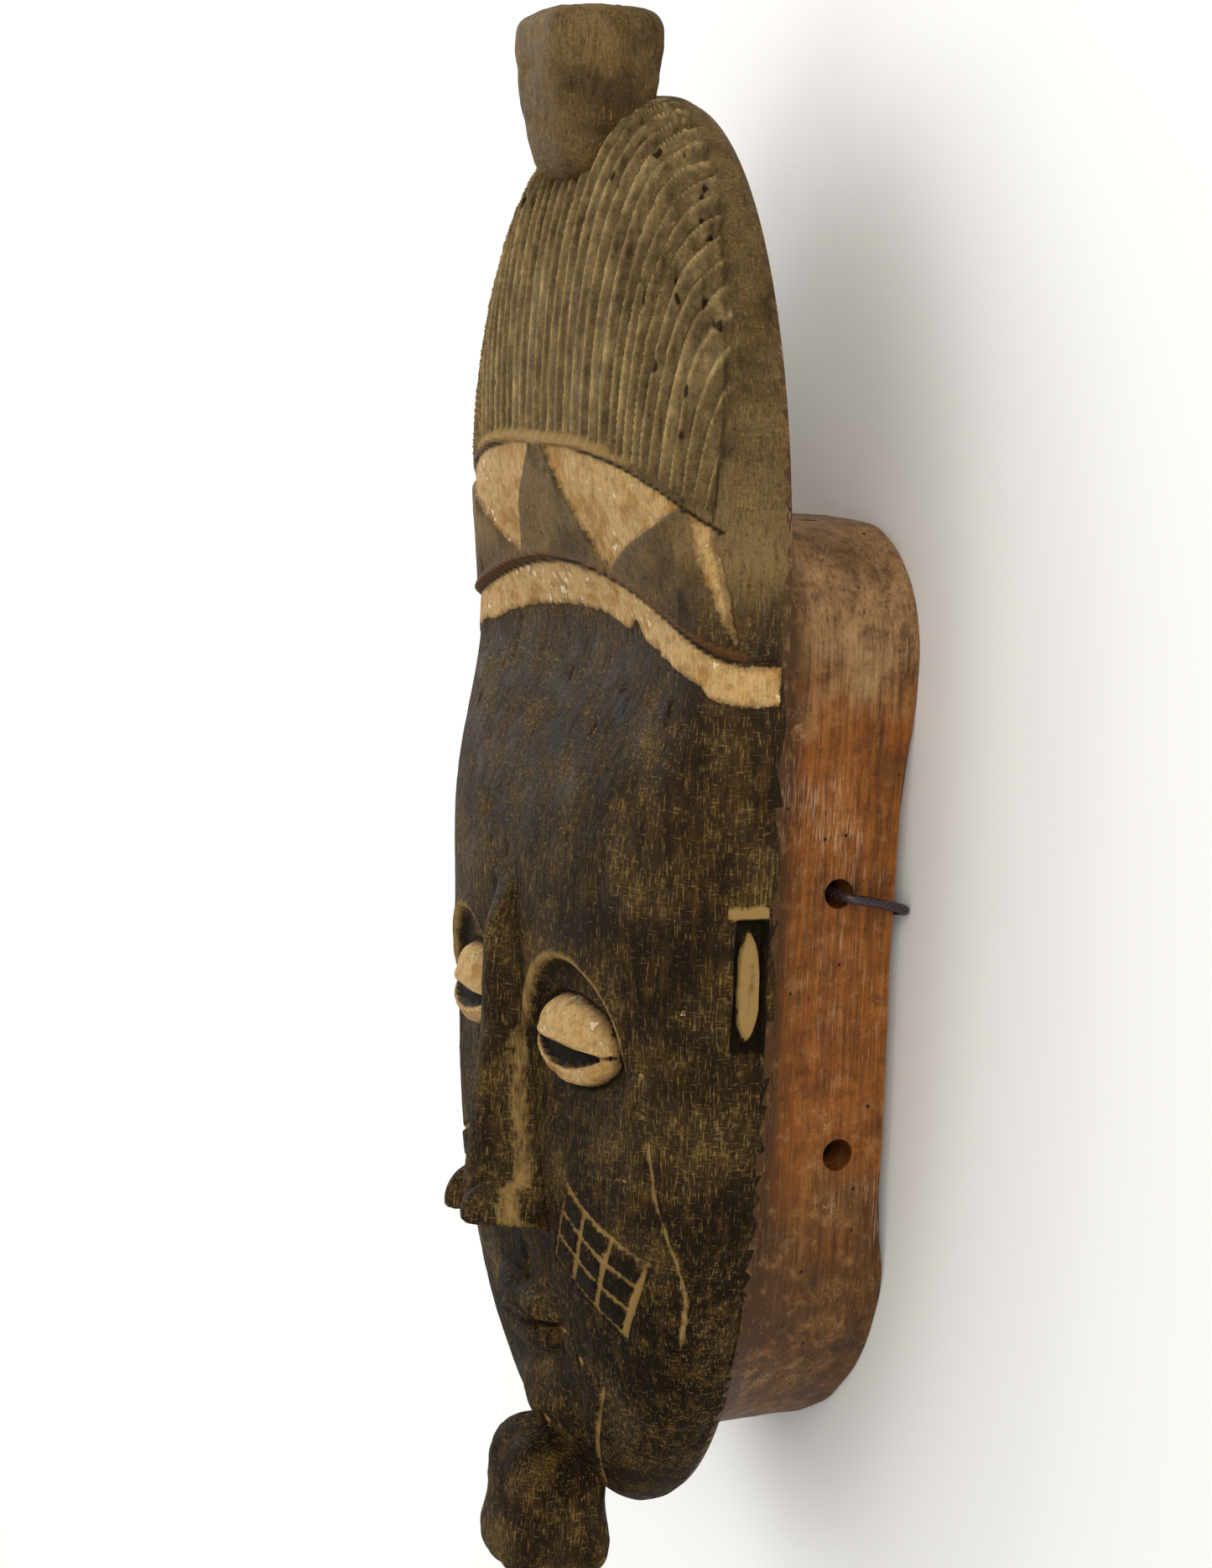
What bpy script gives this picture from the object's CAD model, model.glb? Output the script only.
"""A carved wooden portrait mask lying on its back, with its hanging cord.

Lengths in the classes are millimetres in the mask's own frame: +X the mask's own left, +Y the top of
its head, +Z the way its face looks, and the rim of the collar rests on Z = 0. Meshes are in metres.
"""

import logging
import math
from dataclasses import dataclass, field
from enum import Enum

import bpy
import numpy as np
from mathutils import Matrix, Vector


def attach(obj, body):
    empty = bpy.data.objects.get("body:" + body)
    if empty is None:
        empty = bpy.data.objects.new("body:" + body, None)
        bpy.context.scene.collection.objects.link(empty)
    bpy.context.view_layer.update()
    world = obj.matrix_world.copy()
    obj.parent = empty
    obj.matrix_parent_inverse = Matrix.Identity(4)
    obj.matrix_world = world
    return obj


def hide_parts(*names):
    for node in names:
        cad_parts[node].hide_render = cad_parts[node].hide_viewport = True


MM = 0.001
BODY = "root"
# Farther, in millimetres, than any painted edge reaches
FAR = 9.0
# Large odd numbers that scatter the noise's corners and seeds
CORNER_SCATTER = np.array([73856093, 19349663, 83492791])
SEED_SCATTER = 2654435761

logging.basicConfig(level=logging.INFO, format="%(message)s")
log = logging.getLogger("mask")

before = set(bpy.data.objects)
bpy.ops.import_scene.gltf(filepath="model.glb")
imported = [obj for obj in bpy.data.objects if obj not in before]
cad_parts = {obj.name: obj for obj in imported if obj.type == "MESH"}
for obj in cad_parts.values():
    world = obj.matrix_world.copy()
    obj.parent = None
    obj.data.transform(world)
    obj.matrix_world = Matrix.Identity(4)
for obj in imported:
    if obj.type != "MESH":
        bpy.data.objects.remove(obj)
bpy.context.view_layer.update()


class Slot(Enum):
    """The record's material slots."""

    WOOD = "patinated_wood"
    CORD = "braided_cord"


class Paint(Enum):
    """Attributes that tell the finishes what was carved where, in millimetres or shares of one."""

    PALE = "pale"
    CREST = "crest"
    HAIR = "hair"
    DARK = "dark"
    RUST = "rust"
    RUBBED = "rubbed"


# Pale paint and hair are distances inside their edge, and the rest are shares
UNPAINTED = {kind: -FAR if kind in (Paint.PALE, Paint.HAIR) else 0.0 for kind in Paint}


# ---------------------------------------------------------------- working helpers


def ease(share: np.ndarray) -> np.ndarray:
    """Bends shares from 0 to 1 so that they start and end gently."""
    return share * share * (3 - 2 * share)


def smooth(distance: np.ndarray, width: float) -> np.ndarray:
    """Rises smoothly from 0 to 1 as distance crosses zero.

    Args:
        distance: Signed distance to the edge.
        width: Width of the transition, in the same unit.

    Returns:
        A share from 0 to 1 for each distance.
    """
    return ease(np.clip(distance / width + 0.5, 0, 1))


def bell(distance: np.ndarray, spread: float) -> np.ndarray:
    """A bell of height one around zero."""
    return np.exp(-((distance / spread) ** 2))


def rounded(share: np.ndarray, power: float, root: float) -> np.ndarray:
    """Falls from 1 at 0 to 0 at 1, flatter near 0 as power grows and blunter near 1 as root grows."""
    return np.maximum(0, 1 - np.abs(share) ** power) ** (1 / root)


def noise(points: np.ndarray, cell: tuple[float, float, float], seed: int) -> np.ndarray:
    """Smooth value noise.

    Args:
        points: Points as rows of three, in millimetres.
        cell: Size of a noise cell along each axis, in millimetres.
        seed: Chooses the pattern.

    Returns:
        A value from -1 to 1 for each point.
    """
    place = points / np.array(cell)
    corner = np.floor(place).astype(np.int64)
    share = ease(place - corner)
    total = np.zeros(len(points))
    for offset in np.ndindex(2, 2, 2):
        spot = (corner + np.array(offset)) * CORNER_SCATTER
        mixed = np.bitwise_xor.reduce(spot, axis=1) ^ (seed * SEED_SCATTER)
        mixed = ((mixed & 0xFFFFFFFF) * 1103515245 + 12345) & 0x7FFFFFFF
        mixed = ((mixed ^ (mixed >> 15)) * 69069 + 1) & 0x7FFFFFFF
        value = ((mixed >> 8) & 0xFFFF) / 32767.5 - 1
        weight = np.prod(np.where(np.array(offset) == 1, share, 1 - share), axis=1)
        total += value * weight
    return total


def running(steps: np.ndarray | list[float]) -> np.ndarray:
    """The running total of some steps, from zero."""
    return np.concatenate([[0], np.cumsum(steps)])


def length_along(line: np.ndarray) -> np.ndarray:
    """The distance of each point of a line from its first, along the line."""
    return running(np.linalg.norm(np.diff(line, axis=0), axis=1))


def evenly(line: np.ndarray, count: int, closed: bool = False) -> np.ndarray:
    """Divides a line into equal steps.

    Args:
        line: Its points as rows.
        count: Number of points wanted.
        closed: Whether the line ends where it starts, so that its last point is left out.

    Returns:
        The new points as rows.
    """
    length = length_along(line)
    even = np.linspace(0, length[-1], count, endpoint=not closed)
    return np.column_stack([np.interp(even, length, axis) for axis in line.T])


def deselect_all() -> None:
    """Leaves object mode with nothing selected."""
    if bpy.context.object and bpy.context.object.mode != "OBJECT":
        bpy.ops.object.mode_set(mode="OBJECT")
    bpy.ops.object.select_all(action="DESELECT")


def make_active(obj: bpy.types.Object) -> None:
    """Selects one object alone and makes it the active one."""
    deselect_all()
    obj.select_set(True)
    bpy.context.view_layer.objects.active = obj


def edit_all(obj: bpy.types.Object, select: str = "VERT") -> None:
    """Opens a mesh in edit mode with all of it selected, as VERT or as FACE."""
    make_active(obj)
    bpy.ops.object.mode_set(mode="EDIT")
    bpy.ops.mesh.select_mode(type=select)
    bpy.ops.mesh.select_all(action="SELECT")


def close_outwards() -> None:
    """Turns all faces outwards and leaves edit mode."""
    bpy.ops.mesh.select_all(action="SELECT")
    bpy.ops.mesh.normals_make_consistent(inside=False)
    bpy.ops.object.mode_set(mode="OBJECT")


def added(name: str) -> bpy.types.Object:
    """Names the primitive that was just added, at the origin."""
    obj = bpy.context.object
    obj.name = name
    bpy.ops.object.transform_apply(location=True, rotation=True, scale=True)
    return obj


def points_of(obj: bpy.types.Object) -> np.ndarray:
    """The vertices of a mesh as rows of three, in millimetres."""
    flat = np.zeros(len(obj.data.vertices) * 3, np.float32)
    obj.data.vertices.foreach_get("co", flat)
    return flat.reshape(-1, 3).astype(float) / MM


def set_points(obj: bpy.types.Object, points: np.ndarray) -> None:
    """Moves the vertices of a mesh.

    Args:
        obj: The mesh object.
        points: New places as rows of three, in millimetres.
    """
    obj.data.vertices.foreach_set("co", (points * MM).astype(np.float32).ravel())
    obj.data.update()


def paint(obj: bpy.types.Object, values: dict[Paint, np.ndarray | float]) -> None:
    """Stores paint values on the vertices; what isn't given stays unpainted.

    Args:
        obj: The mesh object.
        values: One value, or one per vertex, for each kind of paint.
    """
    count = len(obj.data.vertices)
    for kind in Paint:
        layer = obj.data.attributes.new(kind.value, "FLOAT", "POINT")
        value = np.broadcast_to(values.get(kind, UNPAINTED[kind]), (count,))
        layer.data.foreach_set("value", value.astype(np.float32))


def apply_modifier(obj: bpy.types.Object, kind: str, **settings: object) -> None:
    """Adds a modifier and applies it.

    Args:
        obj: The mesh object.
        kind: The modifier's type.
        **settings: Its settings.
    """
    make_active(obj)
    modifier = obj.modifiers.new(kind.lower(), kind)
    for name, value in settings.items():
        setattr(modifier, name, value)
    bpy.ops.object.modifier_apply(modifier=modifier.name)


def combine(obj: bpy.types.Object, other: bpy.types.Object, operation: str) -> None:
    """Joins another solid to an object or cuts it away, and removes the other.

    Args:
        obj: The solid that stays.
        other: The solid that is used up.
        operation: UNION or DIFFERENCE.
    """
    apply_modifier(obj, "BOOLEAN", object=other, operation=operation, solver="MANIFOLD")
    bpy.data.objects.remove(other)


def triangle_count(obj: bpy.types.Object) -> int:
    """Triangles of a mesh once its polygons are cut up."""
    return sum(len(polygon.vertices) - 2 for polygon in obj.data.polygons)


def finish_piece(obj: bpy.types.Object, angle_deg: float) -> None:
    """Smooths a finished piece, puts it on its body and reports it.

    Args:
        obj: The finished mesh object.
        angle_deg: Edges sharper than this stay sharp.
    """
    make_active(obj)
    bpy.ops.object.shade_smooth_by_angle(angle=math.radians(angle_deg))
    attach(obj, BODY)
    log.info("%s: %d triangles", obj.name, triangle_count(obj))


def linear(colour: str) -> tuple[float, float, float, float]:
    """Turns an sRGB hex colour such as #7d4f26 into linear red, green, blue and alpha."""
    channels = [int(colour[i : i + 2], 16) / 255 for i in (1, 3, 5)]
    bent = [c / 12.92 if c <= 0.04045 else ((c + 0.055) / 1.055) ** 2.4 for c in channels]
    return (bent[0], bent[1], bent[2], 1.0)


def plug(tree: bpy.types.NodeTree, node: bpy.types.Node, values: dict) -> None:
    """Links or sets a node's inputs.

    Args:
        tree: The node tree.
        node: The node.
        values: For each input, by name or number, a socket to link or a value to set.
    """
    for name, value in values.items():
        if isinstance(value, bpy.types.NodeSocket):
            tree.links.new(value, node.inputs[name])
        else:
            node.inputs[name].default_value = value


def add(tree: bpy.types.NodeTree, kind: str, links: dict | None = None, **settings: object
        ) -> bpy.types.Node:
    """Adds a shader node with its settings and links.

    Args:
        tree: The node tree.
        kind: The node's type, without its ShaderNode prefix.
        links: For each input, by name or number, a socket to link or a value to set.
        **settings: The node's own settings.

    Returns:
        The new node.
    """
    made = tree.nodes.new("ShaderNode" + kind)
    for name, value in settings.items():
        setattr(made, name, value)
    plug(tree, made, links or {})
    return made


def ramp_stops(ramp: bpy.types.Node, stops: list[tuple[float, str]]) -> bpy.types.NodeSocket:
    """Fills a colour ramp.

    Args:
        ramp: The ramp node.
        stops: Places from 0 to 1 with their sRGB colours.

    Returns:
        The ramp's colour output.
    """
    elements = ramp.color_ramp.elements
    while len(elements) < len(stops):
        elements.new(0.5)
    for element, (place, colour) in zip(elements, stops):
        element.position = place
        element.color = linear(colour)
    return ramp.outputs["Color"]


def new_material(name: str) -> tuple[bpy.types.Material, bpy.types.NodeTree, bpy.types.Node]:
    """Makes a material with a plain principled shader.

    Args:
        name: What the finish is.

    Returns:
        The material, its node tree and its principled shader.
    """
    material = bpy.data.materials.new(name)
    material.use_nodes = True
    tree = material.node_tree
    tree.nodes.clear()
    shader = add(tree, "BsdfPrincipled")
    add(tree, "OutputMaterial", {"Surface": shader.outputs["BSDF"]})
    return material, tree, shader


# ---------------------------------------------------------------- finishes


@dataclass
class Layering:
    """The noise patterns of one finish, and the coats laid over each other where they say."""

    tree: bpy.types.NodeTree
    patterns: dict[str, tuple[bpy.types.NodeSocket, float, float, float]]
    noise: dict[str, bpy.types.NodeSocket] = field(init=False)

    def __post_init__(self) -> None:
        """Adds each noise from where it runs, its size in millimetres, its detail and its roughness."""
        self.noise = {}
        for name, (where, size, detail, rough) in self.patterns.items():
            made = add(self.tree, "TexNoise", {"Vector": where, "Scale": 1 / (size * MM), "Detail": detail,
                                               "Roughness": rough})
            self.noise[name] = made.outputs["Fac"]

    def spread(self, base: str | bpy.types.NodeSocket, **weights: float) -> bpy.types.NodeSocket:
        """Adds weighted noises to a value.

        Args:
            base: The value, or the name of a noise.
            **weights: The weight of each added noise, by its name.

        Returns:
            The sum.
        """
        total = self.noise[base] if isinstance(base, str) else base
        for name, weight in weights.items():
            total = add(self.tree, "Math", {0: self.noise[name], 1: weight, 2: total},
                        operation="MULTIPLY_ADD").outputs[0]
        return total

    def share(self, follows: bpy.types.NodeSocket, start: float, full: float, most: float = 1.0,
              least: float = 0.0) -> bpy.types.NodeSocket:
        """Makes a share that follows a value.

        Args:
            follows: The value.
            start: The value at which the share is the least.
            full: The value at which it is the most.
            most: The highest share.
            least: The lowest share.

        Returns:
            The share.
        """
        ends = {"Value": follows, 1: start, 2: full, 3: least, 4: most}
        return add(self.tree, "MapRange", ends).outputs["Result"]

    def coat(self, colour: bpy.types.NodeSocket, coats: tuple[tuple, ...]) -> bpy.types.NodeSocket:
        """Lays coats over a colour.

        Args:
            colour: The colour underneath.
            coats: For each coat, what it follows, where it starts and is full, its strength and its colour.

        Returns:
            The colour on top.
        """
        for follows, start, full, strength, over in coats:
            top = linear(over) if isinstance(over, str) else over
            share = self.share(follows, start, full, strength)
            colour = add(self.tree, "Mix", {0: share, 6: colour, 7: top}, data_type="RGBA").outputs[2]
        return colour

    def bump(self, height: bpy.types.NodeSocket, strength: float, depth: float) -> bpy.types.NodeSocket:
        """Turns a height into a relief of the given strength and depth in millimetres."""
        raised = {"Height": height, "Strength": strength, "Distance": depth * MM}
        return add(self.tree, "Bump", raised).outputs["Normal"]


@dataclass(frozen=True)
class StainedHardwood:
    """Hand-carved hardwood, stained nearly black and rubbed: ochre wood shows through in fine scratches."""

    # Stain by place along the mask, from the chin to the bun
    stain_stops: tuple[tuple[float, str], ...] = (
        (-200, "#281c0e"),
        (-165, "#191106"),
        (-120, "#130c04"),
        (-70, "#251b0d"),
        (-25, "#281d0f"),
        (20, "#2c2012"),
        (52, "#33271a"),
        (60, "#463824"),
        (72, "#7b6543"),
        (96, "#645236"),
        (135, "#604f33"),
        (172, "#655236"),
        (200, "#76613f"),
    )
    # Combed hair from its valleys to its ridges
    hair_stops: tuple[tuple[float, str], ...] = (
        (0.0, "#21180d"),
        (0.28, "#423520"),
        (0.52, "#645337"),
        (0.76, "#86714b"),
        (1.0, "#b09867"),
    )
    soot: str = "#130d07"
    bloom: str = "#403420"
    ochre: str = "#58431e"
    brown: str = "#4a2f16"
    scratch: str = "#876c3e"
    worn: str = "#937646"
    rust: str = "#573a20"
    kaolin: str = "#b89866"
    kaolin_dull: str = "#8f744b"
    kaolin_orange: str = "#a67a3f"
    kaolin_dirt: str = "#5f472a"
    kaolin_white: str = "#e2d0b0"
    roughness: float = 0.7
    # Dry stain scatters light, and wood's usual 1.5 would turn it grey where it is seen at a low angle
    ior: float = 1.16
    specular_level: float = 0.35

    def material(self) -> bpy.types.Material:
        """Builds the finish.

        Returns:
            The material.
        """
        material, tree, shader = new_material("stained_carved_hardwood")
        place = add(tree, "TexCoord").outputs["Object"]
        upright = add(tree, "Mapping", {"Vector": place, "Scale": (1.0, 0.11, 1.0)}).outputs["Vector"]
        level = add(tree, "Mapping", {"Vector": place, "Scale": (0.2, 1.0, 0.2)}).outputs["Vector"]
        wood = Layering(tree, {
            "scratch": (upright, 0.42, 3.0, 0.7),
            "cross": (level, 0.45, 3.0, 0.6),
            "streak": (upright, 1.9, 4.0, 0.6),
            "speck": (place, 0.75, 3.0, 0.6),
            "ragged": (place, 2.2, 4.0, 0.55),
            "patch": (place, 8.0, 4.0, 0.6),
            "cloud": (place, 25.0, 4.0, 0.55),
        })
        painted = {kind: add(tree, "Attribute", attribute_name=kind.value).outputs["Fac"] for kind in Paint}

        # Stain that changes along the mask, dulled, rubbed and scratched
        along = add(tree, "SeparateXYZ", {"Vector": place}).outputs["Y"]
        low, high = self.stain_stops[0][0], self.stain_stops[-1][0]
        stops = [((y - low) / (high - low), colour) for y, colour in self.stain_stops]
        stain = ramp_stops(add(tree, "ValToRGB", {"Fac": wood.share(along, low * MM, high * MM)}), stops)
        colour = wood.coat(stain, (
            (wood.noise["cloud"], 0.50, 0.66, 0.5, self.bloom),
            (wood.noise["cloud"], 0.54, 0.36, 0.65, self.soot),
            (wood.spread("patch", streak=0.7), 0.84, 1.2, 0.5, self.ochre),
            (wood.spread("streak", patch=0.5), 0.72, 0.52, 0.5, self.soot),
            (wood.noise["streak"], 0.54, 0.72, 0.4, self.brown),
            (wood.noise["speck"], 0.48, 0.30, 0.45, self.soot),
            (wood.spread("scratch", patch=0.15, cloud=0.2), 0.735, 0.88, 0.75, self.scratch),
            (wood.spread("cross", patch=0.15, cloud=0.25), 0.785, 0.92, 0.5, self.scratch),
            (wood.noise["scratch"], 0.42, 0.32, 0.5, self.soot),
        ))

        # Combed hair: sooty valleys and rubbed ridges
        crest = add(tree, "Math", {0: painted[Paint.CREST], 1: 0.34}, operation="MULTIPLY").outputs[0]
        comb = wood.share(wood.spread(crest, ragged=0.35, streak=0.55, patch=0.7, speck=0.35), 0.55, 1.38)
        hair = ramp_stops(add(tree, "ValToRGB", {"Fac": comb}), list(self.hair_stops))

        # Pale kaolin paint: dull and orange patches, dirt in its pores and at its edge, white chips
        kaolin = ramp_stops(add(tree, "ValToRGB", {"Fac": wood.noise["patch"]}), [
            (0.34, self.kaolin_orange), (0.48, self.kaolin), (0.56, self.kaolin), (0.70, self.kaolin_dull)])
        kaolin = wood.coat(kaolin, (
            (wood.noise["streak"], 0.52, 0.34, 0.55, self.kaolin_orange),
            (wood.spread("scratch", patch=0.5), 0.76, 0.55, 0.55, self.kaolin_dirt),
            (wood.spread("speck", ragged=0.6), 0.76, 0.56, 0.55, self.kaolin_dirt),
            (wood.spread("ragged", cloud=0.8), 0.84, 0.70, 0.4, self.kaolin_dull),
            (wood.spread(painted[Paint.PALE], ragged=3.0), 3.0, 1.6, 0.6, self.kaolin_dirt),
            (wood.spread("ragged", patch=1.0), 1.2, 1.28, 0.75, self.kaolin_white),
        ))

        # Hair, wood laid bare on worn edges, paint with a ragged edge, and soot left in cuts
        rust, rubbed = (wood.spread(painted[kind], ragged=0.7, streak=0.8, scratch=0.5)
                        for kind in (Paint.RUST, Paint.RUBBED))
        colour = wood.coat(colour, (
            (painted[Paint.HAIR], -0.6, 0.6, 0.82, hair),
            (rust, 1.25, 1.75, 0.8, self.rust),
            (rubbed, 1.25, 1.75, 0.85, self.worn),
            (wood.spread(painted[Paint.PALE], ragged=1.6, speck=0.8), 1.0, 1.4, 1.0, kaolin),
            (wood.spread(painted[Paint.DARK], ragged=0.5), 0.45, 0.85, 0.9, self.soot),
        ))

        dull, shiny = self.roughness + 0.14, self.roughness - 0.14
        plug(tree, shader, {
            "Base Color": colour,
            "Roughness": wood.share(wood.noise["patch"], 0.3, 0.7, dull, shiny),
            "Normal": wood.bump(wood.spread("scratch", speck=0.5, streak=1.0), 0.55, 0.3),
            "IOR": self.ior,
            "Specular IOR Level": self.specular_level,
        })
        return material


@dataclass(frozen=True)
class HandledWood:
    """The same hardwood left bare on the collar, orange from handling, with grey dirt at both ends."""

    # Each from the dark lines of the grain to its light ones
    warm: tuple[str, str, str] = ("#4a2a10", "#784416", "#905c26")
    dusty: tuple[str, str, str] = ("#4b3823", "#7f603e", "#a3825a")
    grimy: tuple[str, str, str] = ("#26180b", "#4c3116", "#6d4a26")
    edge_brown: str = "#3f2812"
    tan: str = "#9b7347"
    bleached: str = "#b59a80"
    pore: str = "#1f120a"
    # Where the bare orange wood ends towards the top and the bottom, and over what length it changes
    warm_top: float = 38.0
    warm_bottom: float = -80.0
    top_change: float = 22.0
    bottom_change: float = 40.0
    cove_from: float = 27.0
    cove_to: float = 36.0
    worm_hole_spacing: float = 9.0
    roughness: float = 0.5
    # Worn by hands but never polished, so it shines less than wood's usual 1.5
    ior: float = 1.3
    specular_level: float = 0.4

    def material(self) -> bpy.types.Material:
        """Builds the finish.

        Returns:
            The material.
        """
        material, tree, shader = new_material("handled_bare_hardwood")
        place = add(tree, "TexCoord").outputs["Object"]
        upright = add(tree, "Mapping", {"Vector": place, "Scale": (1.0, 0.035, 1.0)}).outputs["Vector"]
        wood = Layering(tree, {
            "grain": (upright, 0.9, 5.0, 0.65),
            "wide": (upright, 3.6, 4.0, 0.6),
            "hair_line": (upright, 0.4, 2.0, 0.6),
            "patch": (place, 13.0, 5.0, 0.6),
            "cloud": (place, 34.0, 3.0, 0.5),
            "fine": (place, 0.9, 3.0, 0.6),
            "mottle": (place, 4.5, 5.0, 0.65),
        })
        tone = wood.share(wood.spread("wide", grain=0.6, patch=1.0, fine=0.35), 1.1, 1.85)
        warm, dusty, grimy = (
            ramp_stops(add(tree, "ValToRGB", {"Fac": tone}), list(zip((0.0, 0.5, 1.0), tones)))
            for tones in (self.warm, self.dusty, self.grimy))

        # Bare wood in the middle, dust at the top end, grime at the bottom end and dark wood under the face
        axes = add(tree, "SeparateXYZ", {"Vector": place})
        top, bottom, cove = (wood.share(axes.outputs[axis], start * MM, full * MM) for axis, start, full in (
            ("Y", self.warm_top - self.top_change, self.warm_top + self.top_change),
            ("Y", self.warm_bottom + self.bottom_change, self.warm_bottom - self.bottom_change),
            ("Z", self.cove_from, self.cove_to),
        ))
        cells = {"Vector": place, "Scale": 1 / (self.worm_hole_spacing * MM)}
        worm_holes = add(tree, "TexVoronoi", cells).outputs["Distance"]
        colour = wood.coat(warm, (
            (wood.spread(top, patch=0.8, cloud=1.2), 1.35, 1.75, 0.95, dusty),
            (wood.spread(bottom, patch=0.8, cloud=1.2), 1.35, 1.75, 0.95, grimy),
            (wood.spread(cove, patch=0.6), 0.5, 1.15, 0.9, self.edge_brown),
            (wood.spread("patch", fine=0.5), 0.66, 0.5, 0.5, self.edge_brown),
            (wood.noise["mottle"], 0.54, 0.68, 0.4, self.tan),
            (wood.noise["mottle"], 0.46, 0.34, 0.5, self.edge_brown),
            (wood.noise["grain"], 0.43, 0.33, 0.55, self.edge_brown),
            (wood.noise["cloud"], 0.47, 0.36, 0.45, self.edge_brown),
            (wood.noise["hair_line"], 0.40, 0.30, 0.5, self.pore),
            (wood.spread("fine", patch=0.9), 1.16, 1.3, 0.4, self.bleached),
            (wood.spread("hair_line", cloud=0.8), 1.05, 1.2, 0.5, self.bleached),
            (worm_holes, 0.07, 0.045, 1.0, self.pore),
        ))
        dull, shiny = self.roughness + 0.2, self.roughness - 0.1
        plug(tree, shader, {
            "Base Color": colour,
            "Roughness": wood.share(wood.noise["patch"], 0.0, 1.0, dull, shiny),
            "Normal": wood.bump(wood.spread("grain", fine=0.4), 0.5, 0.3),
            "IOR": self.ior,
            "Specular IOR Level": self.specular_level,
        })
        return material


@dataclass(frozen=True)
class GougedWood:
    """Raw hardwood inside the hollow, gouged and darkened by age, never oiled: dull and fibrous."""

    light: str = "#7a5a38"
    mid: str = "#54391f"
    dark: str = "#2f2014"
    fibre_width: float = 1.0
    fibre_length: float = 16.0
    patch_size: float = 12.0
    roughness: float = 0.85

    def material(self) -> bpy.types.Material:
        """Builds the finish.

        Returns:
            The material.
        """
        material, tree, shader = new_material("gouged_raw_hardwood")
        place = add(tree, "TexCoord").outputs["Object"]
        stretch = (1.0, self.fibre_width / self.fibre_length, 1.0)
        fibre_place = add(tree, "Mapping", {"Vector": place, "Scale": stretch}).outputs["Vector"]
        wood = Layering(tree, {
            "fibre": (fibre_place, self.fibre_width, 5.0, 0.5),
            "patch": (place, self.patch_size, 4.0, 0.5),
        })
        both = {0: wood.noise["fibre"], 1: wood.noise["patch"]}
        tone = wood.share(add(tree, "Math", both, operation="MULTIPLY").outputs[0], 0.14, 0.4)
        colour = ramp_stops(add(tree, "ValToRGB", {"Fac": tone}),
                            [(0.0, self.dark), (0.5, self.mid), (1.0, self.light)])
        plug(tree, shader, {"Base Color": colour, "Roughness": self.roughness,
                            "Normal": wood.bump(wood.noise["fibre"], 0.7, 0.5)})
        return material


@dataclass(frozen=True)
class BraidedPolyester:
    """Waxed polyester braid, dark plum, each strand catching a small highlight."""

    strand: str = "#3a2229"
    gap: str = "#120a0d"
    fibre_size: float = 0.4
    roughness: float = 0.38

    def material(self) -> bpy.types.Material:
        """Builds the finish.

        Returns:
            The material.
        """
        material, tree, shader = new_material("braided_polyester")
        crest = add(tree, "Attribute", attribute_name=Paint.CREST.value).outputs["Fac"]
        place = add(tree, "TexCoord").outputs["Object"]
        braid = Layering(tree, {"fibre": (place, self.fibre_size, 2.0, 0.5)})
        lift = braid.share(braid.spread(crest, fibre=0.4), -0.5, 0.8)
        ends = {0: lift, 6: linear(self.gap), 7: linear(self.strand)}
        colour = add(tree, "Mix", ends, data_type="RGBA").outputs[2]
        plug(tree, shader, {"Base Color": colour, "Roughness": self.roughness,
                            "Normal": braid.bump(braid.noise["fibre"], 0.4, 0.1)})
        return material


@dataclass(frozen=True)
class StudioPaper:
    """Matt white studio paper under the mask, with only a faint tooth."""

    shade: str = "#f4f3f1"
    tooth_size: float = 2.0
    roughness: float = 0.9

    def material(self) -> bpy.types.Material:
        """Builds the finish.

        Returns:
            The material.
        """
        material, tree, shader = new_material("matt_studio_paper")
        place = add(tree, "TexCoord").outputs["Object"]
        paper = Layering(tree, {"tooth": (place, self.tooth_size, 2.0, 0.5)})
        plug(tree, shader, {"Base Color": linear(self.shade), "Roughness": self.roughness,
                            "Normal": paper.bump(paper.noise["tooth"], 0.05, 0.1)})
        return material


# ---------------------------------------------------------------- the head


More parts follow.
